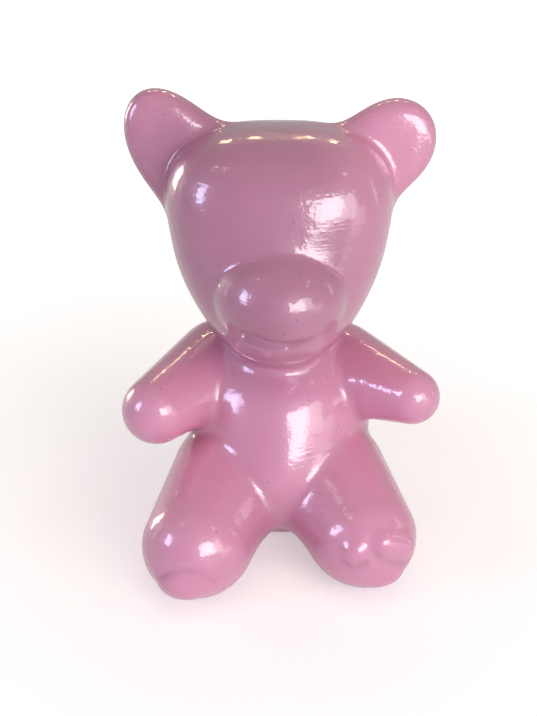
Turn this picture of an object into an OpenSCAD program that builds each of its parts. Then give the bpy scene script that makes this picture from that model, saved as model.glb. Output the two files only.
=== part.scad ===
// Money box in the shape of a seated teddy bear: one hollow cast body and a rubber stopper.
// The bear sits on Z = 0 and looks along -Y. Left is -X, as seen when facing the bear.
// Its arms and legs are posed a little unevenly, so each has its own places.

/* [Head] */
// Width of the head across its middle
head_w = 87.5; // [80:0.5:94]
// Depth of the head from forehead to back
head_d = 82; // [76:1:90]
// Height of the head without the ears
head_h = 83; // [78:1:90]
// How far the head widens towards its top, as a share of its width
head_flare = 0.16; // [0:0.01:0.2]
// Squareness of the head: 2 is an egg, more is boxier
head_square = 2.7; // [2:0.1:3]
// How far the top of the head tips back, in degrees
head_tip = 13; // [8:0.5:18]
// Height of the underside of the head, inside the neck
neck_z = 88.3; // [84:0.1:92]
// Shift of the head to the right of the middle
head_shift = -0.5; // [-3:0.5:3]
// How far the middle of the head stands behind the spine
head_back = 5.5; // [2:0.5:8]

/* [Ears] */
// Width of an ear
ear_w = 31; // [27:1:35]
// Thickness of an ear
ear_t = 15; // [14:1:18]
// Length of the ear on the left, along its own axis
left_ear_h = 43; // [40:1:48]
// Length of the ear on the right, along its own axis
right_ear_h = 33.5; // [30:0.5:40]
// Middle of the ear on the left: out and up from the middle of the head
left_ear = [44.3, 34.5]; // [30:0.1:50]
// Middle of the ear on the right: out and up from the middle of the head
right_ear = [45.8, 34.5]; // [30:0.1:50]
// Lean of the ear on the left, in degrees
left_ear_lean = 31; // [25:1:40]
// Lean of the ear on the right, in degrees
right_ear_lean = 38; // [30:1:45]
// How far the ears stand behind the middle of the head
ear_back = 1; // [0:0.5:6]

/* [Face] */
// Width of the muzzle
muzzle_w = 52.5; // [47:0.5:57]
// Depth of the muzzle
muzzle_d = 61; // [56:1:68]
// Height of the muzzle
muzzle_h = 40.5; // [38:0.5:46]
// Drop of the muzzle below the middle of the head
muzzle_drop = 11.5; // [9:0.5:15]
// How far the muzzle stands forward of the spine
muzzle_forward = 23.5; // [20:0.5:28]
// How far the muzzle nods down, in degrees
muzzle_nod = 6; // [0:0.5:15]
// Width of the jaw
jaw_w = 62; // [58:1:68]
// Depth of the jaw
jaw_d = 58.5; // [54:0.5:64]
// Height of the jaw
jaw_h = 64; // [58:1:68]
// Drop of the jaw below the middle of the head
jaw_drop = 17.2; // [15:0.1:20]
// How far the jaw stands forward of the spine
jaw_forward = 14; // [10:0.5:17]
// Width of the chin
chin_w = 50; // [44:0.5:54]
// Depth of the chin
chin_d = 47; // [44:0.5:54]
// Height of the chin
chin_h = 33.5; // [31:0.5:39]
// Drop of the chin below the middle of the head
chin_drop = 24.3; // [22:0.1:27]
// How far the chin stands forward of the spine
chin_forward = 26.5; // [23:0.5:30]

/* [Body] */
// Width and depth of the neck
neck_w = 46; // [42:1:50]
// How far the neck stands behind the spine
neck_back = 3.5; // [1:0.5:6]
// Width of the chest
chest_w = 74; // [68:1:78]
// Depth of the chest
chest_d = 74; // [68:1:78]
// Height of the chest form
chest_h = 56; // [52:1:62]
// Height of the middle of the chest
chest_z = 58; // [55:1:61]
// Width of the belly
belly_w = 62; // [56:1:68]
// Depth of the belly
belly_d = 75; // [70:1:80]
// Height of the belly
belly_h = 56; // [50:1:60]
// Height of the middle of the belly
belly_z = 36.5; // [34:0.5:40]
// How far the belly stands forward of the spine
belly_forward = 11.5; // [8:0.5:15]
// Width of the hips
hips_w = 74; // [72:1:80]
// Depth of the hips
hips_d = 72; // [70:1:78]
// Height of the hips, part of it cut off by the flat seat
hips_h = 74; // [70:1:80]
// How far the hips would reach below the flat seat
hips_sink = 8.5; // [8:0.5:12]
// How far the hips stand behind the spine
hips_back = 1; // [0:0.5:3]

/* [Arms] */
// Middle of the shoulder on the left
left_shoulder = [-25, 4, 66]; // [-90:0.5:90]
// Middle of the hand on the left
left_hand = [-49.5, -32, 66]; // [-90:0.5:90]
// Radius of the hand on the left
left_hand_r = 13.8; // [12:0.1:16]
// Middle of the shoulder on the right
right_shoulder = [25, 3.5, 65]; // [-90:0.5:90]
// Middle of the hand on the right
right_hand = [53, -29, 71]; // [-90:0.5:90]
// Radius of the hand on the right
right_hand_r = 11.2; // [10:0.1:13]
// Radius of a shoulder
shoulder_r = 19.5; // [18:0.5:21]

/* [Legs] */
// Radius of a thigh where it leaves the hips
thigh_r = 20.6; // [19:0.1:23]
// Middle of a thigh: out from the centre, along Y and up
thigh_at = [23.5, -24, 31]; // [-30:0.5:35]
// Radius of the foot on the left
left_foot_r = 21.3; // [20:0.1:24]
// Middle of the foot on the left, on the ground plan
left_foot = [-33.5, -61]; // [-80:0.5:80]
// Radius of the foot on the right
right_foot_r = 20.9; // [20:0.1:24]
// Middle of the foot on the right, on the ground plan
right_foot = [34.5, -53.5]; // [-80:0.5:80]
// How much of each foot the flat base cuts away
foot_sink = 0.8; // [0.5:0.1:1.5]

/* [Casting] */
// Wall of the casting
wall = 5; // [4:0.5:6]
// Thickness of the floor round the base hole
floor_t = 9; // [8:0.5:11]
// Mesh spacing of the outside
skin_step = 5; // [4.5:0.5:8]
// Mesh spacing of the hollow
hollow_step = 7.5; // [6:0.5:9]

/* [Coin slot] */
// Length of the slot, for the largest coin
slot_l = 38; // [30:1:42]
// Height of the slot
slot_h = 4.6; // [4.4:0.1:6]
// Drop of the slot below the crown, in the back of the head
slot_drop = 22.3; // [20:0.1:32]

/* [Base hole] */
// Diameter of the hole in the base
bore_d = 32; // [26:0.5:36]
// Place of the hole behind the spine
bore_y = 1; // [-1:0.5:3]
// Diameter of the shallow recess that takes the stopper's flange
recess_d = 42; // [40:0.5:44]
// Depth of the recess
recess_h = 3; // [2.5:0.5:4]

/* [Stopper] */
// Clearance of the ribs in the hole, all round
plug_fit = 0.15; // [0.1:0.05:0.3]
// Clearance of the flange in the recess, all round
flange_fit = 1; // [0.5:0.1:1.5]
// Thickness of the flange
flange_t = 2.2; // [1.8:0.1:2.4]
// How far the plug reaches past the floor into the hollow
plug_past = 3; // [2:0.5:5]
// Depth of the grip ribs round the plug
rib_h = 0.8; // [0.5:0.1:1.2]
// Distance of each grip rib from its end of the hole
rib_inset = 1.5; // [1.3:0.1:2]
// Bevel round the inner end of the plug
plug_bevel = 1; // [0.5:0.1:1.5]
// Wall of the hollow plug
plug_wall = 3; // [2.5:0.25:4]
// Width of the pull bar across the hollow
bar_w = 5; // [4:0.5:6]
// Thickness of the pull bar
bar_t = 3.5; // [3:0.5:5]

/* [Hidden] */
$fn = 96;
pink = [0.87, 0.56, 0.69];
rubber_grey = [0.86, 0.85, 0.82];

// Places that follow from the sizes
head_at = [head_shift, head_back, neck_z + head_h / 2];
muzzle_at = [0, -muzzle_forward, head_at.z - muzzle_drop];
jaw_at = [0, -jaw_forward, head_at.z - jaw_drop];
chin_at = [0, -chin_forward, head_at.z - chin_drop];
chest_at = [0, 0, chest_z];
// The neck runs from the middle of the chest up into the jaw
neck_from = [0, neck_back, chest_z];
neck_to = [0, neck_back, jaw_at.z];
belly_at = [0, -belly_forward, belly_z];
hips_at = [0, hips_back, hips_h / 2 - hips_sink];
left_foot_at = [left_foot.x, left_foot.y, left_foot_r - foot_sink];
right_foot_at = [right_foot.x, right_foot.y, right_foot_r - foot_sink];
slot_z = neck_z + head_h - slot_drop;

// Squareness of the muzzle and of the hips
muzzle_square = 2.1;
hips_square = 2.4;

// The web of the ears lies this far inside the outline of the head
web_sink = 2;

// How far neighbouring forms melt into each other
web_melt = 23;
ear_rim = 8;
ear_melt = 4;
jaw_melt = 8;
face_melt = 3;
neck_melt = 8;
belly_melt = 17;
hip_melt = 12;
crotch_melt = 39;
limb_melt = 6;
hollow_melt = 6;

// Smooth union of two distances: k is the width of the fillet
function melt(a, b, k) = let(h = max(k - abs(a - b), 0) / k) min(a, b) - h * h * k / 4;

function scaled(q, r) = [q.x / r.x, q.y / r.y, q.z / r.z];

// The point q as seen by a form that leans by a degrees about Y
function leant(q, a) = [q.x * cos(a) - q.z * sin(a), q.y, q.x * sin(a) + q.z * cos(a)];

// The point q as seen by a form whose top is tipped back by a degrees
function tipped(q, a) = [q.x, q.y * cos(a) - q.z * sin(a), q.y * sin(a) + q.z * cos(a)];

// Distance from q to an ellipsoid with half axes r
function egg(q, r) =
    let(s = scaled(q, r))
    let(k = norm(s))
    k * (k - 1) / max(norm(scaled(s, r)), 0.0001);

// Distance from q to a boxy egg of squareness n, which widens upwards by flare
// Close to its middle, where the slope fades out, a plain cone of distances stands in
function boxy_egg(q, r, n, flare = 0, middle = 0.3) =
    let(rx = r.x * (1 + flare * max(-1, min(1, q.z / r.z))))
    let(s = [abs(q.x) / rx, abs(q.y) / r.y, abs(q.z) / r.z])
    let(k = pow(pow(s.x, n) + pow(s.y, n) + pow(s.z, n), 1 / n))
    let(g = norm([pow(s.x, n - 1) / rx, pow(s.y, n - 1) / r.y, pow(s.z, n - 1) / r.z]))
    k < middle ? (k - 1) * min(r) : (k - 1) * pow(k, n - 1) / max(g, 0.0001);

// Distance from p to a limb: round ends of radius ra at a and rb at b, with a cone between
function limb(p, a, b, ra, rb) =
    let(ab = b - a)
    let(l = norm(ab))
    let(u = (p - a) * ab / l)
    let(v = norm(cross(p - a, ab)) / l)
    let(s = (ra - rb) / l)
    let(c = sqrt(1 - s * s))
    u * c - v * s < 0 ? norm([u, v]) - ra
    : u * c - v * s > l * c ? norm([u - l, v]) - rb
    : u * s + v * c - ra;

// Distances to the forms of the head, from a point q in the head's own tipped frame
function in_head(p) = tipped(p - head_at, head_tip);
function skull(q) = boxy_egg(q, [head_w, head_d, head_h] / 2, head_square, head_flare);

// Distance from q to the outline of an ear at this place, seen from the front
function ear(q, at, h, lean) =
    let(s = leant([q.x - at.x, 0, q.z - at.y], lean))
    egg(s, [ear_w, ear_t, h] / 2);

// Both ears and the web that joins them to the head, as one flat leaf with a round rim
function ears(q) =
    let(flat = [q.x, 0, q.z])
    let(left = ear(q, [-left_ear.x, left_ear.y], left_ear_h, -left_ear_lean))
    let(right = ear(q, right_ear, right_ear_h, right_ear_lean))
    let(outline = melt(melt(skull(flat) + web_sink, left, web_melt), right, web_melt))
    -melt(-outline, ear_t / 2 - abs(q.y - ear_back), ear_rim);

// Distances to the forms of the bear
function jaw(p) = egg(p - jaw_at, [jaw_w, jaw_d, jaw_h] / 2);
function muzzle(p) =
    boxy_egg(tipped(p - muzzle_at, -muzzle_nod), [muzzle_w, muzzle_d, muzzle_h] / 2, muzzle_square);
function chin(p) = egg(p - chin_at, [chin_w, chin_d, chin_h] / 2);
function neck(p) = limb(p, neck_from, neck_to, neck_w / 2, neck_w / 2);
function chest(p) = egg(p - chest_at, [chest_w, chest_d, chest_h] / 2);
function belly(p) = egg(p - belly_at, [belly_w, belly_d, belly_h] / 2);
function trunk(p) = melt(melt(chest(p), belly(p), belly_melt), neck(p), neck_melt);
function hips(p) = boxy_egg(p - hips_at, [hips_w, hips_d, hips_h] / 2, hips_square);
function left_arm(p) = limb(p, left_shoulder, left_hand, shoulder_r, left_hand_r);
function right_arm(p) = limb(p, right_shoulder, right_hand, shoulder_r, right_hand_r);
function arms(p) = min(left_arm(p), right_arm(p));
function left_leg(p) = limb(p, [-thigh_at.x, thigh_at.y, thigh_at.z], left_foot_at, thigh_r, left_foot_r);
function right_leg(p) = limb(p, thigh_at, right_foot_at, thigh_r, right_foot_r);
function legs(p) = melt(left_leg(p), right_leg(p), crotch_melt);

function head(p) =
    let(q = in_head(p))
    let(with_jaw = melt(melt(skull(q), ears(q), ear_melt), jaw(p), jaw_melt))
    melt(melt(with_jaw, muzzle(p), face_melt), chin(p), face_melt);

// The whole outside of the bear
function bear(p) =
    let(upper = melt(melt(head(p), trunk(p), neck_melt), hips(p), hip_melt))
    melt(melt(upper, legs(p), limb_melt), arms(p), limb_melt);

// The hollow: every form but the thin ears and the chin, a wall inside the outside
function hollow(p) =
    let(face = melt(melt(skull(in_head(p)), jaw(p), hollow_melt), muzzle(p), hollow_melt))
    let(lower = melt(hips(p), min(left_leg(p), right_leg(p)), hollow_melt))
    melt(melt(melt(face, trunk(p), hollow_melt), lower, hollow_melt), arms(p), hollow_melt) + wall;

// Corners of a grid cell, and its edges as pairs of corners
CORNERS = [for (i = [0, 1], j = [0, 1], k = [0, 1]) [i, j, k]];
EDGES = [for (a = [0:7], b = [a + 1:1:7]) if (norm(CORNERS[a] - CORNERS[b]) == 1) [a, b]];

// Where the surface crosses a cell, as the mean of its edge crossings, from its eight corner values
function cell_point(w) =
    let(hits = [for (e = EDGES) let(a = w[e[0]], b = w[e[1]]) if ((a < 0) != (b < 0))
        CORNERS[e[0]] + (CORNERS[e[1]] - CORNERS[e[0]]) * a / (a - b)])
    [for (axis = [0:2]) [for (h = hits) h[axis]] * [for (h = hits) 1] / len(hits)];

// True where an outside grid point faces another one across two inside ones: a cleft too narrow for the grid
function in_cleft(v, i, j, k) =
    let(here = v[i][j][k])
    len([for (s = [-1, 1], t = [-1, 1])
        if ((v[i + s][j][k] < 0 && v[i][j + t][k] < 0 && v[i + s][j + t][k] >= here)
            || (v[i][j + s][k] < 0 && v[i][j][k + t] < 0 && v[i][j + s][k + t] >= here)
            || (v[i + s][j][k] < 0 && v[i][j][k + t] < 0 && v[i + s][j][k + t] >= here)) 1]) > 0;

// Grid values with every such cleft filled to just below the surface, so that no two sheets share an edge
function filled(v, n, step) =
    let(below = -step / 4)
    let(clefts = [for (i = [1:n.x - 1], j = [1:n.y - 1], k = [1:n.z - 1])
        if (v[i][j][k] >= 0 && v[i][j][k] < step && in_cleft(v, i, j, k)) [i, j, k]])
    len(clefts) == 0 ? v : filled([for (i = [0:n.x]) [for (j = [0:n.y]) [for (k = [0:n.z])
        search([[i, j, k]], clefts) == [[]] ? v[i][j][k] : below]]], n, step);

// The point p moved onto the surface where f is zero, by one Newton step, but kept inside its cell
// The slope is measured over the length e, and taken as at least half of its usual 1
function settled(f, p, low, step, e = 0.2, least = 0.5) =
    let(d = f(p))
    let(g = [f(p + [e, 0, 0]) - d, f(p + [0, e, 0]) - d, f(p + [0, 0, e]) - d] / e)
    let(q = p - g * d / max(g * g, least * least))
    [for (a = [0:2]) max(low[a], min(low[a] + step, q[a]))];

// Two triangles for a four-sided patch, split along its shorter diagonal
function patch(q, points, turn) =
    let(s = turn ? q : [q[3], q[2], q[1], q[0]])
    norm(points[s[0]] - points[s[2]]) < norm(points[s[1]] - points[s[3]])
    ? [[s[0], s[1], s[2]], [s[0], s[2], s[3]]]
    : [[s[1], s[2], s[3]], [s[1], s[3], s[0]]];

// Closed mesh of the surface where the distance f is zero, on a grid of this step that clears the bear
module skin(f, step) {
    lo = reach_lo - 2 * step * [1, 1, 1];
    n = [for (a = [0:2]) ceil((reach_hi[a] - lo[a]) / step) + 2];
    v = filled([for (i = [0:n.x]) [for (j = [0:n.y]) [for (k = [0:n.z]) f(lo + step * [i, j, k])]]], n, step);
    cells = [for (i = [0:n.x - 1], j = [0:n.y - 1], k = [0:n.z - 1]) [i, j, k]];
    values = [for (c = cells) [for (o = CORNERS) v[c.x + o.x][c.y + o.y][c.z + o.z]]];
    crossed = [for (w = values) min(w) < 0 && max(w) >= 0];
    points = [for (i = [0:len(cells) - 1]) if (crossed[i])
        let(low = lo + step * cells[i])
        settled(f, low + step * cell_point(values[i]), low, step)];
    number = [for (i = 0, total = 0; i < len(cells); total = total + (crossed[i] ? 1 : 0), i = i + 1) total];
    function at(i, j, k) = number[(i * n.y + j) * n.z + k];
    patches = [for (i = [1:n.x - 1], j = [1:n.y - 1], k = [1:n.z - 1])
        let(here = v[i][j][k] < 0)
        each [
            if (here != (v[i + 1][j][k] < 0))
                patch([at(i, j - 1, k - 1), at(i, j, k - 1), at(i, j, k), at(i, j - 1, k)], points, !here),
            if (here != (v[i][j + 1][k] < 0))
                patch([at(i - 1, j, k - 1), at(i - 1, j, k), at(i, j, k), at(i, j, k - 1)], points, !here),
            if (here != (v[i][j][k + 1] < 0))
                patch([at(i - 1, j - 1, k), at(i, j - 1, k), at(i, j, k), at(i - 1, j, k)], points, !here)
        ]];
    polyhedron(points, [for (p = patches) each p]);
}

// How far a boxy egg of half axes r and squareness n reaches back when tipped by a degrees
function reach_back(r, n, a) =
    let(m = n / (n - 1))
    pow(pow(r.y * cos(a), m) + pow(r.z * sin(a), m), 1 / m);

// Reach of the bear on each side
reach_lo = [
    min(left_hand.x - left_hand_r, head_at.x - left_ear.x - left_ear_h / 2, left_foot.x - left_foot_r),
    min(left_foot.y - left_foot_r, right_foot.y - right_foot_r),
    -hips_sink];
reach_hi = [
    max(right_hand.x + right_hand_r, head_at.x + right_ear.x + right_ear_h / 2, right_foot.x + right_foot_r),
    head_at.y + reach_back([head_w, head_d, head_h] / 2, head_square, head_tip),
    head_at.z + max(left_ear.y + left_ear_h / 2, right_ear.y + right_ear_h / 2)];
// The forms are placed from the spine, and the origin is under the middle of the bear's reach
stand_y = -(reach_lo.y + reach_hi.y) / 2;

// Half space above a height
module above(z) {
    big = 400;
    translate([-big / 2, -big / 2, z]) cube(big);
}

module coin_slot() {
    // From inside the hollow out through the back wall
    through = head_d;
    translate([head_at.x, 0, slot_z]) rotate([-90, 0, 0]) {
        for (side = [-1, 1]) translate([side * (slot_l - slot_h) / 2, 0, 0]) cylinder(d = slot_h, h = through);
        translate([-(slot_l - slot_h) / 2, -slot_h / 2, 0]) cube([slot_l - slot_h, slot_h, through]);
    }
}

module base_hole() {
    // Past each face of the floor
    past = 1;
    translate([0, bore_y, -past]) cylinder(d = bore_d, h = floor_t + 2 * past);
    translate([0, bore_y, -past]) cylinder(d = recess_d, h = recess_h + past);
}

// The cast body, from outside to hollow, with its flat seat
module bear_shell() {
    color(pink) difference() {
        intersection() {
            skin(function (p) bear(p), skin_step);
            above(0);
        }
        intersection() {
            skin(function (p) hollow(p), hollow_step);
            above(floor_t);
        }
        coin_slot();
        base_hole();
    }
}

// Rubber plug: a flange that seats in the recess, two grip ribs in the hole, and a pull bar underneath
module stopper() {
    seat_z = recess_h;
    under_z = seat_z - flange_t;
    top_z = floor_t + plug_past;
    rib_r = bore_d / 2 - plug_fit;
    core_r = rib_r - rib_h;
    rib_zs = [seat_z + rib_inset, floor_t - rib_inset];
    cup_r = core_r - plug_wall;
    cup_z = top_z - plug_wall;
    // Forms that join run this far into each other
    lap = 1;
    translate([0, bore_y, 0]) color(rubber_grey) {
        difference() {
            union() {
                translate([0, 0, under_z]) cylinder(r = recess_d / 2 - flange_fit, h = flange_t);
                translate([0, 0, seat_z]) cylinder(r = core_r, h = top_z - seat_z - plug_bevel);
                translate([0, 0, top_z - plug_bevel])
                    cylinder(r1 = core_r, r2 = core_r - plug_bevel, h = plug_bevel);
                for (z = rib_zs) translate([0, 0, z]) rotate_extrude()
                    polygon([[core_r - lap, -rib_h - lap], [core_r, -rib_h], [rib_r, 0], [core_r, rib_h],
                        [core_r - lap, rib_h + lap]]);
            }
            translate([0, 0, under_z - lap]) cylinder(r = cup_r, h = cup_z - under_z + lap);
        }
        translate([-cup_r - lap, -bar_w / 2, under_z]) cube([2 * (cup_r + lap), bar_w, bar_t]);
    }
}

translate([0, stand_y, 0]) bear_shell();
translate([0, stand_y, 0]) stopper();
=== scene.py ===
"""Looks of the teddy bear money box: a slip-cast body under pink glaze, and its rubber stopper.

Forms are in millimetres and placed from the bear's spine. It faces -Y, and left and right are as
seen from the front. The CAD origin lies STAND in front of the spine.
"""

import math

import bpy
import numpy as np
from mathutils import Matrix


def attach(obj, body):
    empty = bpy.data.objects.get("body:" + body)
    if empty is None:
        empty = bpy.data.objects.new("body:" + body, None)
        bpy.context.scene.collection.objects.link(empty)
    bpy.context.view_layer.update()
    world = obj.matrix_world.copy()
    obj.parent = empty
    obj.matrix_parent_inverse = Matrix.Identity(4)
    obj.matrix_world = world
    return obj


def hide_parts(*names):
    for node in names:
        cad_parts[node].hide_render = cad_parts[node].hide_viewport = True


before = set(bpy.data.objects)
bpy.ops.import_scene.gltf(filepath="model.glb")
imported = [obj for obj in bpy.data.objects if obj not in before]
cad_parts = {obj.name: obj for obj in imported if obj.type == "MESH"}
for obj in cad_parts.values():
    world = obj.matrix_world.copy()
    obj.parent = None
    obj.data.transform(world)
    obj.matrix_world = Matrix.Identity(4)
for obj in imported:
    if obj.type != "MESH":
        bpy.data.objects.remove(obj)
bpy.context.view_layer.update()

MM = 0.001
STAND = 17.2
TINY = 1e-4  # keeps divisions clear of zero


# ---- distances to plain forms: negative inside, points as rows of x, y, z ----

def melt(a, b, k):
    """Union of two forms, with a fillet of width k whose curvature fades out evenly."""
    reach = 1.5 * k
    h = np.maximum(reach - np.abs(a - b), 0) / reach
    return np.minimum(a, b) - h ** 3 * k / 4


def carve(a, b, k):
    """Form a with form b cut away, the edge rounded over k."""
    return -melt(-a, b, k)


def leant(q, degrees):
    """The points as seen by a form that leans about Y."""
    c, s = math.cos(math.radians(degrees)), math.sin(math.radians(degrees))
    return np.stack([q[:, 0] * c - q[:, 2] * s, q[:, 1], q[:, 0] * s + q[:, 2] * c], 1)


def egg(p, at, r):
    """An ellipsoid with the radii r."""
    q = p - np.float32(at)
    r = np.float32(r)
    s = q / r
    k = np.sqrt((s * s).sum(1))
    return k * (k - 1) / np.maximum(np.sqrt(((s / r) ** 2).sum(1)), TINY)


def tipped(p, at, degrees):
    """The points as seen by a form at this place whose top is tipped back."""
    q = p - np.float32(at)
    c, s = math.cos(math.radians(degrees)), math.sin(math.radians(degrees))
    return np.stack([q[:, 0], q[:, 1] * c - q[:, 2] * s, q[:, 1] * s + q[:, 2] * c], 1)


def boxy_egg(q, r, n, flare=0.0):
    """Squareness n: 2 is an egg, more is boxier. It widens upwards by flare."""
    core = 0.3  # inside this share of its size, a plainer and steadier measure will do
    rx = r[0] * (1 + flare * np.clip(q[:, 2] / r[2], -1, 1))
    s = np.abs(q) / np.stack([rx, np.full_like(rx, r[1]), np.full_like(rx, r[2])], 1)
    s = np.maximum(s, TINY / 10)
    k = (s ** n).sum(1) ** (1 / n)
    g = s ** (n - 1)
    g[:, 0] /= rx
    g[:, 1] /= r[1]
    g[:, 2] /= r[2]
    d = (k - 1) * k ** (n - 1) / np.maximum(np.sqrt((g * g).sum(1)), TINY)
    return np.where(k < core, (k - 1) * min(r), d)


def limb(p, a, b, ra, rb):
    """Round ends of radius ra at a and rb at b, with a cone between them."""
    a, b = np.float32(a), np.float32(b)
    ab = b - a
    l = float(np.linalg.norm(ab))
    q = p - a
    u = q @ ab / l
    v = np.sqrt(np.maximum((q * q).sum(1) - u * u, 0))
    s = (ra - rb) / l
    c = math.sqrt(1 - s * s)
    along = u * c - v * s
    return np.where(along < 0, np.hypot(u, v) - ra,
                    np.where(along > l * c, np.hypot(u - l, v) - rb, u * s + v * c - ra))


# ---- the bear's forms ----

HEAD = (-0.5, 5.5, 129.8)  # middle of the skull
HEAD_TIP = 13  # degrees that the head is tipped back
MOUTH_EDGE = 2.6  # rounding of the mouth's line

# the coin slot, the base hole with the stopper's recess, and how thick the casting is
SLOT_LENGTH = 38
SLOT_WIDTH = 4.6
SLOT_Z = 149
BORE_Y = 1
BORE_R = 16
RECESS_R = 21
RECESS_H = 3
FLOOR_T = 9
WALL = 5


def skull(q):
    return boxy_egg(q, (43.75, 41, 41.5), 2.7, flare=0.16)


def ear(q, side, out, up, r, splay):
    """Outline of an ear, seen from the front."""
    s = leant(q - np.float32([side * out, 0, up]), side * splay)
    s[:, 1] = 0
    return egg(s, (0, 0, 0), r)


def flap(q):
    """Both ears and the web that joins them to the head, as one flat leaf with a round rim."""
    web, half_thickness, set_back, rim = 23, 7.5, 1, 8
    flat = q * np.float32([1, 0, 1])
    left = ear(q, -1, 44.3, 34.5, (15.5, 1, 21.5), 31)
    right = ear(q, 1, 45.8, 34.5, (15.5, 1, 16.75), 38)
    d = melt(melt(skull(flat) + 2, left, web), right, web)
    return carve(d, half_thickness - np.abs(q[:, 1] - set_back), rim)


def jaw(p):
    return egg(p, (0, -14, 112.6), (31, 29.25, 32))


def muzzle(p):
    return boxy_egg(tipped(p, (0, -23.5, 118.3), -6), (26.25, 30.5, 20.25), 2.1)


def chin(p):
    return egg(p, (0, -26.5, 105.5), (25, 23.5, 16.75))


def lower_lip(p):
    return limb(p, (-11, -46.6, 107.4), (1, -48.4, 104.2), 3.0, 2.0)


def smile(p):
    """Groove of the mouth: part of a ring, deep at the left and fading out to the right."""
    ring_radius, groove_radius, left_end, right_end = 25.9, 1.5, -13.5, 5
    x = p[:, 0]
    q = tipped(p, (0.5, -30.6, 122.2), -37.6)
    ring = np.hypot(np.hypot(q[:, 0], q[:, 1]) - ring_radius, q[:, 2])
    end = np.maximum(left_end - x, 0) * 1.2 + np.maximum(x - right_end, 0) * 0.2
    return ring + end - groove_radius + 0.05 * x


def head(p):
    q = tipped(p, HEAD, HEAD_TIP)
    d = melt(skull(q), flap(q), 2.5)
    d = melt(d, jaw(p), 8)
    d = melt(melt(d, muzzle(p) - 0.5, 1.4), chin(p), 3)
    d = melt(d, lower_lip(p), 2.5)
    return carve(d, smile(p), MOUTH_EDGE)


def neck(p):
    return limb(p, (0, 3.5, 58), (0, 3.5, 112.6), 23, 23)


def trunk(p):
    d = melt(egg(p, (0, 0, 58), (37, 37, 28)), egg(p, (0, -11.5, 36.5), (31, 37.5, 28)), 17)
    return melt(d, neck(p), 8)


def hips(p):
    return boxy_egg(p - np.float32([0, 1, 28.5]), (37, 36, 37), 2.4)


def left_arm(p):
    return limb(p, (-25, 4, 66), (-49.5, -32, 66), 19.5, 13.8)


def right_arm(p):
    return limb(p, (25, 3.5, 65), (53, -29, 71), 19.5, 11.2)


def left_leg(p):
    return limb(p, (-23.5, -24, 31), (-33.5, -61, 20.5), 20.6, 21.3)


def right_leg(p):
    return limb(p, (23.5, -24, 31), (34.5, -53.5, 20.1), 20.6, 20.9)


def paws(p):
    """Pads on the soles, and the toes above the right one."""
    left_pad = egg(p, (-36.5, -74.8, 14.6), (11.5, 8.6, 8.4))
    right_pad = egg(p, (38.5, -65.6, 13.6), (11, 8, 8))
    toe = egg(p, (30, -70, 25), (5.4, 4.6, 5))
    toes = limb(p, (40.6, -67, 27.3), (47.1, -63.7, 23.4), 6.4, 6.6)
    return np.minimum(left_pad, np.minimum(right_pad, np.minimum(toe, toes)))


def groove(p, places, r):
    """A thumbed line through these places."""
    return np.min([limb(p, a, b, r, r) for a, b in zip(places, places[1:])], 0)


def paw_lines(p):
    """Creases over the left pad and under the toes on the right."""
    left = [(-47, -78.6, 18), (-39, -82, 24), (-31, -82.8, 22.8), (-25.6, -81.6, 18.6)]
    toe = [(24.6, -72.6, 21), (28.4, -74.8, 18.8), (33.4, -75.2, 21.8)]
    toes = [(36.6, -74.4, 26.8), (41, -74.8, 22.2), (48.3, -70.6, 18.2), (53.2, -64, 16)]
    return np.minimum(groove(p, left, 0.5), np.minimum(groove(p, toe, 1.0), groove(p, toes, 1.0)))


def figure(p):
    d = melt(melt(head(p), trunk(p), 8), hips(p), 10)
    d = melt(d, melt(left_leg(p), right_leg(p), 38), 3.5)
    d = melt(d, np.minimum(left_arm(p), right_arm(p)), 5)
    return melt(d, paws(p), 2)


def outside(p):
    return carve(figure(p), paw_lines(p), 2.4)


def hollow(p):
    """The same forms without ears, chin and mouth, set in by the wall."""
    d = melt(skull(tipped(p, HEAD, HEAD_TIP)), jaw(p), 6)
    d = melt(melt(d, muzzle(p), 6), trunk(p), 6)
    d = melt(d, melt(hips(p), np.minimum(left_leg(p), right_leg(p)), 6), 6)
    d = melt(d, np.minimum(left_arm(p), right_arm(p)), 6) + WALL
    return carve(d, p[:, 2] - FLOOR_T, 1.5)


def slot(p):
    """Stadium-shaped way through the back of the head."""
    across = np.maximum(np.abs(p[:, 0] - HEAD[0]) - (SLOT_LENGTH - SLOT_WIDTH) / 2, 0)
    d = np.hypot(across, p[:, 2] - SLOT_Z) - SLOT_WIDTH / 2
    return np.maximum(d, -p[:, 1])


def base_hole(p):
    """Round hole for the stopper's stem, and the recess that its flange sits in."""
    r = np.hypot(p[:, 0], p[:, 1] - BORE_Y)
    bore = np.maximum(r - BORE_R, p[:, 2] - FLOOR_T - 2)
    recess = np.maximum(r - RECESS_R, p[:, 2] - RECESS_H)
    return melt(bore, recess, 0.6)


def casting(p):
    """The whole body with its flat seat, hollow, slot and base hole."""
    d = carve(outside(p), p[:, 2], 2.5)
    room = melt(hollow(p), np.minimum(slot(p), base_hole(p)), 1.2)
    return carve(d, room, 1.6)


# ---- meshes from distances ----

CORNERS = np.array([(i, j, k) for i in (0, 1) for j in (0, 1) for k in (0, 1)])
EDGES = [(a, b) for a in range(8) for b in range(a + 1, 8)
         if abs(CORNERS[a] - CORNERS[b]).sum() == 1]


def grid_values(field, low, n, step):
    x, y, z = [(low[a] + step * np.arange(n[a])).astype(np.float32) for a in range(3)]
    flat = np.stack(np.meshgrid(y, z, indexing="ij"), -1).reshape(-1, 2)
    v = np.empty(n, np.float32)
    for i in range(n[0]):
        p = np.empty((len(flat), 3), np.float32)
        p[:, 0] = x[i]
        p[:, 1:] = flat
        v[i] = field(p).reshape(n[1], n[2])
    return v


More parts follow.
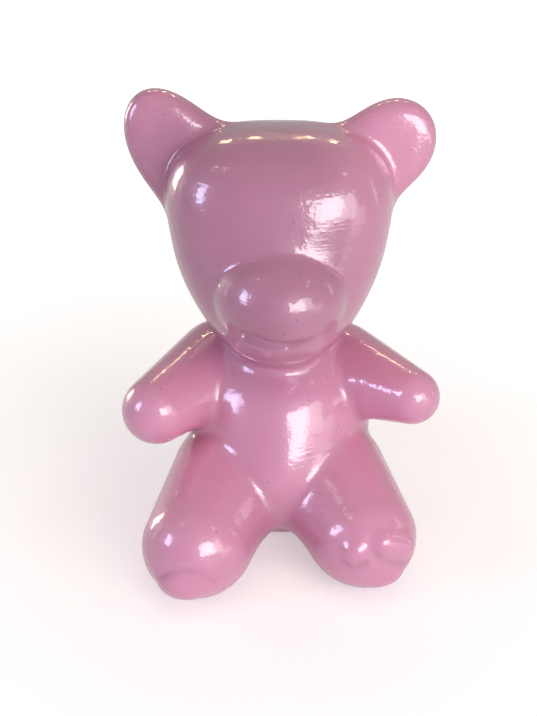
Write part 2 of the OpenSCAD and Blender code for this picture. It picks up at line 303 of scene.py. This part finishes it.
def slope(field, p, e=0.05):
    g = np.empty_like(p)
    for a in range(3):
        d = np.zeros(3, np.float32)
        d[a] = e
        g[:, a] = (field(p + d) - field(p - d)) / (2 * e)
    return g


def middles(cells, v):
    """For each cell, the middle of the places where its edges cross the surface."""
    w = np.stack([v[tuple((cells + c).T)] for c in CORNERS], 1)
    total = np.zeros((len(cells), 3), np.float32)
    hits = np.zeros((len(cells), 1), np.float32)
    for a, b in EDGES:
        cross = (w[:, a] < 0) != (w[:, b] < 0)
        t = np.where(cross, w[:, a] / np.where(cross, w[:, a] - w[:, b], 1), 0)[:, None]
        total += cross[:, None] * (CORNERS[a] + (CORNERS[b] - CORNERS[a]) * t)
        hits += cross[:, None]
    return total / hits


def settle(p, field, step):
    """Move the points onto the surface, by half a step at most each time."""
    least = 0.25  # a slope gentler than this would send a point too far
    for _ in range(3):
        g = slope(field, p)
        move = g * (field(p) / np.maximum((g * g).sum(1), least))[:, None]
        p -= np.clip(move, -step / 2, step / 2)


def quads_between(number, inside):
    """One quad round each grid edge that crosses the surface, from the numbers of its cells."""
    n = inside.shape
    quads = []
    for axis in range(3):
        side, other_side = (axis + 1) % 3, (axis + 2) % 3
        ahead = np.zeros(3, int)
        ahead[axis] = 1
        a = inside[tuple(slice(0, n[k] - ahead[k]) for k in range(3))]
        b = inside[tuple(slice(ahead[k], n[k]) for k in range(3))]
        edge = np.argwhere(a != b)
        leaving = a[tuple(edge.T)]
        ring = []
        for s, t in ((1, 1), (0, 1), (0, 0), (1, 0)):
            cell = edge.copy()
            cell[:, side] -= s
            cell[:, other_side] -= t
            ring.append(number[tuple(cell.T)])
        q = np.stack(ring, 1)
        quads.append(np.where(leaving[:, None], q, q[:, ::-1]))
    return np.concatenate(quads)


def skin(field, low, high, step):
    """Points and quads of the surface where the distance is zero."""
    low = np.float32(low)
    n = np.ceil((np.float32(high) - low) / step).astype(int) + 2
    v = grid_values(field, low, n, step)
    inside = v < 0
    count = sum(inside[tuple(slice(c[k], n[k] - 1 + c[k]) for k in range(3))].astype(np.int8)
                for c in CORNERS)
    cells = np.argwhere((count > 0) & (count < len(CORNERS)))
    points = (low + step * (cells + middles(cells, v))).astype(np.float32)
    settle(points, field, step)
    number = np.full(n - 1, -1)
    number[tuple(cells.T)] = np.arange(len(cells))
    return points, quads_between(number, inside)


def piece_from(name, field, low, high, step):
    """A smooth piece in the CAD frame, and its points as the forms are placed."""
    points, quads = skin(field, low, high, step)
    mesh = bpy.data.meshes.new(name)
    mesh.vertices.add(len(points))
    places = ((points + np.float32([0, STAND, 0])) * MM).astype(np.float32)
    mesh.vertices.foreach_set("co", places.ravel())
    mesh.loops.add(quads.size)
    mesh.loops.foreach_set("vertex_index", quads.astype(np.int32).ravel())
    mesh.polygons.add(len(quads))
    mesh.polygons.foreach_set("loop_start", np.arange(0, quads.size, 4, dtype=np.int32))
    mesh.update(calc_edges=True)
    mesh.validate()
    mesh.polygons.foreach_set("use_smooth", np.ones(len(mesh.polygons), bool))
    mesh.update()
    piece = bpy.data.objects.new(name, mesh)
    bpy.context.scene.collection.objects.link(piece)
    return piece, points


def mark(piece, name, values):
    """A value at each vertex, for the materials to read."""
    layer = piece.data.attributes.new(name, "FLOAT", "POINT")
    layer.data.foreach_set("value", values.astype(np.float32))


# ---- colours and material nodes ----

def rgb(hex_colour):
    """sRGB hex to the linear colour that Blender mixes in."""
    parts = [int(hex_colour[i:i + 2], 16) / 255 for i in (1, 3, 5)]
    linear = [c / 12.92 if c <= 0.04045 else ((c + 0.055) / 1.055) ** 2.4 for c in parts]
    return (*linear, 1.0)


def new_material(name):
    material = bpy.data.materials.new(name)
    material.use_nodes = True
    material.node_tree.nodes.clear()
    return material


def add_node(owner, kind, settings=None, **inputs):
    """A node of this kind in a material or world.

    An input is named, or numbered (_0, _1) where its names repeat. It is given as a value, an
    output, or a node that stands for its first output.
    """
    tree = owner.node_tree
    node = tree.nodes.new(kind)
    for name, value in (settings or {}).items():
        setattr(node, name, value)
    used = [socket for socket in node.inputs if socket.enabled]
    for key, value in inputs.items():
        name = key.replace("_", " ")
        numbered = key[1:].isdigit()
        socket = used[int(key[1:])] if numbered else next(s for s in used if s.name == name)
        if isinstance(value, bpy.types.Node):
            value = next(s for s in value.outputs if s.enabled)
        if isinstance(value, bpy.types.NodeSocket):
            tree.links.new(value, socket)
        else:
            socket.default_value = value
    return node


PINK = rgb("#E79CBB")
MAUVE = rgb("#BE7F9B")
# rose of glaze pooled in creases, also used as painted shade
POOLED_AND_SHADE = rgb("#A4607C")
SPECK = rgb("#7A4350")
DARK_CLAY = rgb("#C9B09F")
LIGHT_CLAY = rgb("#DCC6B6")
WHITE = rgb("#FFFFFF")

COLOURS = {"data_type": "RGBA"}
ADD = {"operation": "ADD"}
SUBTRACT = {"operation": "SUBTRACT"}
MULTIPLY = {"operation": "MULTIPLY"}
MULTIPLY_ADD = {"operation": "MULTIPLY_ADD"}
MAXIMUM = {"operation": "MAXIMUM"}
LESS_THAN = {"operation": "LESS_THAN"}


def glaze_colour(m, place, cloud):
    """Mauve on the face, pink towards the right ear and body, dark rose for pooled glaze and
    painted shade.
    """
    deep = add_node(m, "ShaderNodeAttribute", {"attribute_name": "deep"})
    pool_and_shade = add_node(m, "ShaderNodeAttribute", {"attribute_name": "pool_and_shade"})
    uneven = add_node(m, "ShaderNodeMath", MULTIPLY_ADD, _0=cloud, _1=0.5, _2=-0.25)
    mauve_amount = add_node(m, "ShaderNodeMath", {**ADD, "use_clamp": True}, _0=deep.outputs["Fac"],
                     _1=uneven)
    tone = add_node(m, "ShaderNodeMix", COLOURS, Factor=mauve_amount, A=PINK, B=MAUVE)
    # rose where glaze pooled in creases, with painted shade in creases, at the mouth and under
    # the chin
    pool_and_shade_share = add_node(m, "ShaderNodeMath", MULTIPLY, _0=pool_and_shade.outputs["Fac"], _1=0.75)
    tone = add_node(m, "ShaderNodeMix", COLOURS, Factor=pool_and_shade_share, A=tone, B=POOLED_AND_SHADE)

    # iron specks up to 0.6 mm across, in less than half of the 5 mm cells
    grains = add_node(m, "ShaderNodeTexVoronoi", Vector=place, Scale=190.0)
    rare = add_node(m, "ShaderNodeMath", LESS_THAN, _0=grains.outputs["Color"], _1=0.45)
    dot = add_node(m, "ShaderNodeMapRange", Value=grains.outputs["Distance"],
                   From_Min=0.03, From_Max=0.09, To_Min=0.7, To_Max=0.0)
    speck = add_node(m, "ShaderNodeMath", MULTIPLY, _0=rare, _1=dot)
    return add_node(m, "ShaderNodeMix", COLOURS, Factor=speck, A=tone, B=SPECK)


def glaze_relief(m, place):
    """The gloss isn't flat, so that lamps mirror in it with broken edges."""
    # slow waves 9 mm long, orange peel of 1.6 mm, and strokes of the brush 0.9 mm wide and many
    # times as long, which slope down to the right
    waves = add_node(m, "ShaderNodeTexNoise", Vector=place, Scale=110.0, Detail=1.0)
    peel = add_node(m, "ShaderNodeTexNoise", Vector=place, Scale=620.0, Detail=1.0)
    along = add_node(m, "ShaderNodeMapping", Vector=place, Rotation=(0, math.radians(-14), 0),
                     Scale=(0.06, 0.3, 1))
    strokes = add_node(m, "ShaderNodeTexNoise", Vector=along, Scale=1100.0, Detail=1.0)
    bump = add_node(m, "ShaderNodeBump", Height=waves, Distance=0.0003)
    bump = add_node(m, "ShaderNodeBump", Height=peel, Distance=0.00007, Normal=bump)
    return add_node(m, "ShaderNodeBump", Height=strokes, Distance=0.00005, Normal=bump)


def pink_glaze():
    """Earthenware under a heavy poured gloss glaze, bare inside and on the seat."""
    m = new_material("poured_gloss_glaze")
    place = add_node(m, "ShaderNodeTexCoord").outputs["Object"]
    # clouds 36 mm across vary the glaze's thickness and haze
    cloud = add_node(m, "ShaderNodeTexNoise", Vector=place, Scale=28.0, Detail=3.0)
    tone = glaze_colour(m, place, cloud)
    relief = glaze_relief(m, place)

    # bare clay with a 1 mm grain starts just behind the edges of the openings and the seat
    grain = add_node(m, "ShaderNodeTexNoise", Vector=place, Scale=900.0, Detail=3.0)
    clay = add_node(m, "ShaderNodeMix", COLOURS, Factor=grain, A=DARK_CLAY, B=LIGHT_CLAY)
    depth = add_node(m, "ShaderNodeAttribute", {"attribute_name": "depth"})
    edge = add_node(m, "ShaderNodeMath", ADD, _0=depth.outputs["Fac"], _1=cloud)
    bare = add_node(m, "ShaderNodeMapRange", Value=edge, From_Min=1.7, From_Max=2.1)
    colour = add_node(m, "ShaderNodeMix", COLOURS, Factor=bare, A=tone, B=clay)

    # the glaze mirrors twice: a sharp image in its skin, and a broad haze from the milky layer
    # under it; the clay is dull
    haze = add_node(m, "ShaderNodeMapRange", Value=cloud, From_Min=0.3, From_Max=0.7,
                    To_Min=0.26, To_Max=0.42)
    rough = add_node(m, "ShaderNodeMix", Factor=bare, A=haze, B=0.8)
    glazed = add_node(m, "ShaderNodeMath", SUBTRACT, _0=1.0, _1=bare)
    shader = add_node(m, "ShaderNodeBsdfPrincipled", Base_Color=colour, Roughness=rough, IOR=1.5,
                      Coat_Weight=glazed, Coat_Roughness=0.07, Coat_IOR=1.5,
                      Normal=relief, Coat_Normal=relief)
    add_node(m, "ShaderNodeOutputMaterial", Surface=shader)
    return m


def stopper_rubber():
    """Pale moulded rubber: dull, with soft edges and the fine grain of the mould."""
    m = new_material("moulded_rubber")
    place = add_node(m, "ShaderNodeTexCoord").outputs["Object"]
    # a grain of 0.6 mm
    grain = add_node(m, "ShaderNodeTexNoise", Vector=place, Scale=1600.0, Detail=2.0)
    colour = add_node(m, "ShaderNodeMix", COLOURS, Factor=grain, A=rgb("#D9D5CC"),
                      B=rgb("#E9E6DF"))
    soft = add_node(m, "ShaderNodeBevel", {"samples": 6}, Radius=0.0006)
    bump = add_node(m, "ShaderNodeBump", Height=grain, Distance=0.00003, Normal=soft)
    shader = add_node(m, "ShaderNodeBsdfPrincipled", Base_Color=colour, Roughness=0.55, IOR=1.5,
                      Normal=bump)
    add_node(m, "ShaderNodeOutputMaterial", Surface=shader)
    return m


# ---- the pieces ----

GRID = 1.0  # spacing of the points that the bear's mesh is made from
BEAR_LOW = (-67, -86, -3)
BEAR_HIGH = (67, 51, 187)


def away_from(p, place):
    return np.sqrt(((p - np.float32(place)) ** 2).sum(1))


def deep_glaze(p):
    """How mauve the glaze is: most on the face, paling towards the right ear and the body."""
    mauvest_place, holds_to, pales_over = (-22, -18, 137), 46, 28
    on_head = 1 - np.clip(head(p) / 5, 0, 1)
    paled = np.clip((away_from(p, mauvest_place) - holds_to) / pales_over, 0, 1)
    return (1 - paled) * (0.35 + 0.65 * on_head)


def pooled_glaze_and_shade(p):
    """Pooled glaze and painted shade in a crease, from how near the skin is just outside the
    point.

    Painted shade also darkens over the mouth, along its line and under the chin.
    """
    reach, soft, mouth_shade_peak = 2.5, 2.0, 0.9
    out = slope(figure, p)
    out /= np.maximum(np.sqrt((out * out).sum(1)), TINY * 10)[:, None]
    # creases darken with pooled glaze and with painted shade
    creased = np.clip((reach - figure(p + reach * out)) / soft, 0, 1)
    below_head = np.clip(0.25 + head(p) / 12, 0, 0.8)

    # painted shade over the mouth, along its line and under the chin
    mouth, spread = (-6, -49, 113), 15
    over_mouth = mouth_shade_peak - away_from(p, mouth) / spread
    mouth_line = mouth_shade_peak - smile(p) / MOUTH_EDGE
    off_the_lip = np.clip(lower_lip(p) / 1.5, 0, 1)

    chin_z, fades_over = 102.5, 7
    on_head = 1 - np.clip(head(p) / 3, 0, 1)
    under_chin = np.minimum((chin_z - p[:, 2]) / fades_over, 0.6) * on_head

    mouth_shade = np.maximum(np.maximum(over_mouth, mouth_line), under_chin) * off_the_lip
    return np.clip(np.maximum(creased * below_head, mouth_shade), 0, 1)


def make_bear():
    piece, points = piece_from("bear_body", casting, BEAR_LOW, BEAR_HIGH, GRID)
    mark(piece, "depth", np.clip(-outside(points), 0, WALL))
    mark(piece, "deep", deep_glaze(points))
    # rose for pooled glaze and painted shade in creases, and painted shade at the mouth and chin
    mark(piece, "pool_and_shade", pooled_glaze_and_shade(points))
    piece.data.materials.append(pink_glaze())
    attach(piece, "bank")
    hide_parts("bear_shell")


def make_stopper():
    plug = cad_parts["stopper"]
    plug.data.materials.clear()
    plug.data.materials.append(stopper_rubber())


# ---- the setting, in metres ----

def white_paper():
    """Matt white paper, seen lit up to white, the more so further off.

    The bear's soft shadow stays on it.
    """
    m = new_material("matt_white_paper")
    path = add_node(m, "ShaderNodeLightPath")
    place = add_node(m, "ShaderNodeTexCoord").outputs["Object"]
    away = add_node(m, "ShaderNodeVectorMath", {"operation": "LENGTH"}, Vector=place)
    level = add_node(m, "ShaderNodeMapRange", Value=away, From_Min=0.1, From_Max=0.7,
                     To_Min=0.42, To_Max=1.0)
    seen = add_node(m, "ShaderNodeMath", MULTIPLY, _0=path.outputs["Is Camera Ray"], _1=level)
    lift = add_node(m, "ShaderNodeMath", MULTIPLY_ADD, _0=path.outputs["Is Glossy Ray"], _1=0.2,
                    _2=seen)
    matt = add_node(m, "ShaderNodeBsdfPrincipled", Base_Color=rgb("#F2F1EF"), Roughness=0.9,
                    Emission_Color=WHITE, Emission_Strength=lift)
    add_node(m, "ShaderNodeOutputMaterial", Surface=matt)
    return m


def make_floor():
    reach = 4.0
    corners = [(x * reach, y * reach, 0) for x, y in ((-1, -1), (1, -1), (1, 1), (-1, 1))]
    mesh = bpy.data.meshes.new("floor")
    mesh.from_pydata(corners, [], [(0, 1, 2, 3)])
    mesh.materials.append(white_paper())
    floor = bpy.data.objects.new("floor", mesh)
    bpy.context.scene.collection.objects.link(floor)


def make_world():
    """An even sky: dim as light, plain white where it is seen, and grey in the gloss."""
    as_light, in_gloss = 0.18, 0.3
    world = bpy.data.worlds.new("studio")
    bpy.context.scene.world = world
    world.use_nodes = True
    world.node_tree.nodes.clear()
    path = add_node(world, "ShaderNodeLightPath")
    clear = add_node(world, "ShaderNodeMath", MAXIMUM, _0=path.outputs["Is Camera Ray"],
                     _1=path.outputs["Is Transmission Ray"])
    mirrored = add_node(world, "ShaderNodeMath", MULTIPLY, _0=path.outputs["Is Glossy Ray"],
                        _1=in_gloss)
    seen = add_node(world, "ShaderNodeMath", MAXIMUM, _0=clear, _1=mirrored)
    level = add_node(world, "ShaderNodeMapRange", Value=seen, To_Min=as_light, To_Max=1.0)
    sky = add_node(world, "ShaderNodeBackground", Color=WHITE, Strength=level)
    add_node(world, "ShaderNodeOutputWorld", Surface=sky)


LAMP_DISTANCE = 1.3
BEAR_MIDDLE = (0, 0, 0.09)


def softbox(name, azimuth, elevation, width, height, glow, colour, glossy=True, diffuse=True):
    """A rectangular lamp whose face glows this much, placed as seen from the bear's middle.

    The azimuth runs from the front to the right. Without glossy it only lights the bear, and
    without diffuse it only shows in the gloss.
    """
    light = bpy.data.lights.new(name, "AREA")
    light.shape = "RECTANGLE"
    light.size = width
    light.size_y = height
    light.energy = glow * width * height * math.pi
    light.color = rgb(colour)[:3]
    lamp = bpy.data.objects.new(name, light)
    bpy.context.scene.collection.objects.link(lamp)
    a, e = math.radians(azimuth), math.radians(elevation)
    out = np.array([math.sin(a) * math.cos(e), -math.cos(a) * math.cos(e), math.sin(e)])
    lamp.location = np.array(BEAR_MIDDLE) + out * LAMP_DISTANCE
    lamp.rotation_euler = (math.pi / 2 - e, 0, a)
    lamp.visible_glossy = glossy
    lamp.visible_diffuse = diffuse


def make_lamps():
    # a window on the right, its low neighbour, and a wide glow low in front
    softbox("window", 36, 20, 1.05, 0.6, 3.6, "#FFFFFF")
    softbox("window_glare", 27, 22, 0.6, 0.5, 6.0, "#FFFFFF", diffuse=False)
    softbox("low_window", 62, -2, 0.5, 0.5, 2.0, "#FFF6F2", diffuse=False)
    softbox("front_low", 5, 6, 1.6, 0.4, 1.6, "#E2DEFF", glossy=False)
    # a bluish panel on the left and a warm one behind it
    softbox("left_panel", -68, 22, 0.24, 0.4, 6.0, "#C9CEFF")
    softbox("left_glare", -66, 24, 0.34, 0.5, 9.0, "#D5D9FF", diffuse=False)
    softbox("far_left_panel", -125, 0, 0.3, 0.7, 5.0, "#FFF6E8")
    softbox("far_left_glare", -125, 6, 0.3, 0.6, 6.0, "#FFF6E8", diffuse=False)
    # a row of warm lamps behind, which mirrors on the crown, the shoulders and the ears
    for i in range(4):
        softbox("back_row_%d" % i, 162 + 12 * i, 38, 0.10, 0.05, 24.0, "#FFE3B0", diffuse=False)
    # strips and small lamps that only show as highlights
    softbox("left_edge_strip", -104, 4, 0.14, 0.9, 1.4, "#F1EEFF", diffuse=False)
    softbox("right_edge_strip", 97, 12, 0.07, 0.7, 3.0, "#FFF4F0", diffuse=False)
    softbox("high_lamp_a", -84, 58, 0.05, 0.16, 5.0, "#FFF8EE", diffuse=False)
    softbox("high_lamp_b", -70, 62, 0.08, 0.10, 5.0, "#FFF8EE", diffuse=False)
    softbox("right_high_lamp", 74, 52, 0.12, 0.08, 5.0, "#FFF1DD", diffuse=False)
    # soft light from the right, the back and above
    softbox("right_fill", 85, 42, 0.8, 0.6, 0.6, "#F2EAFF", glossy=False)
    softbox("back_fill", 170, 35, 1.2, 0.8, 0.55, "#FFF4EC", glossy=False)
    softbox("overhead", 0, 80, 1.2, 1.0, 1.1, "#FFEAD6", glossy=False)


def make_camera():
    """Just over half a metre in front of the bear, looking down on it by about 30 degrees."""
    eye = np.array([0.0, -0.5298 + STAND * MM, 0.3767])
    aim = np.array([-0.0047, -0.0095 + STAND * MM, 0.0772])
    data = bpy.data.cameras.new("camera")
    data.sensor_fit = "VERTICAL"
    data.sensor_height = 24
    data.lens = 49.0
    camera = bpy.data.objects.new("camera", data)
    bpy.context.scene.collection.objects.link(camera)
    camera.location = eye
    d = aim - eye
    flat = math.hypot(d[0], d[1])
    camera.rotation_euler = (math.atan2(flat, -d[2]), 0, math.atan2(-d[0], d[1]))
    bpy.context.scene.camera = camera


bpy.context.scene.view_settings.view_transform = "Standard"
make_bear()
make_stopper()
make_floor()
make_world()
make_lamps()
make_camera()
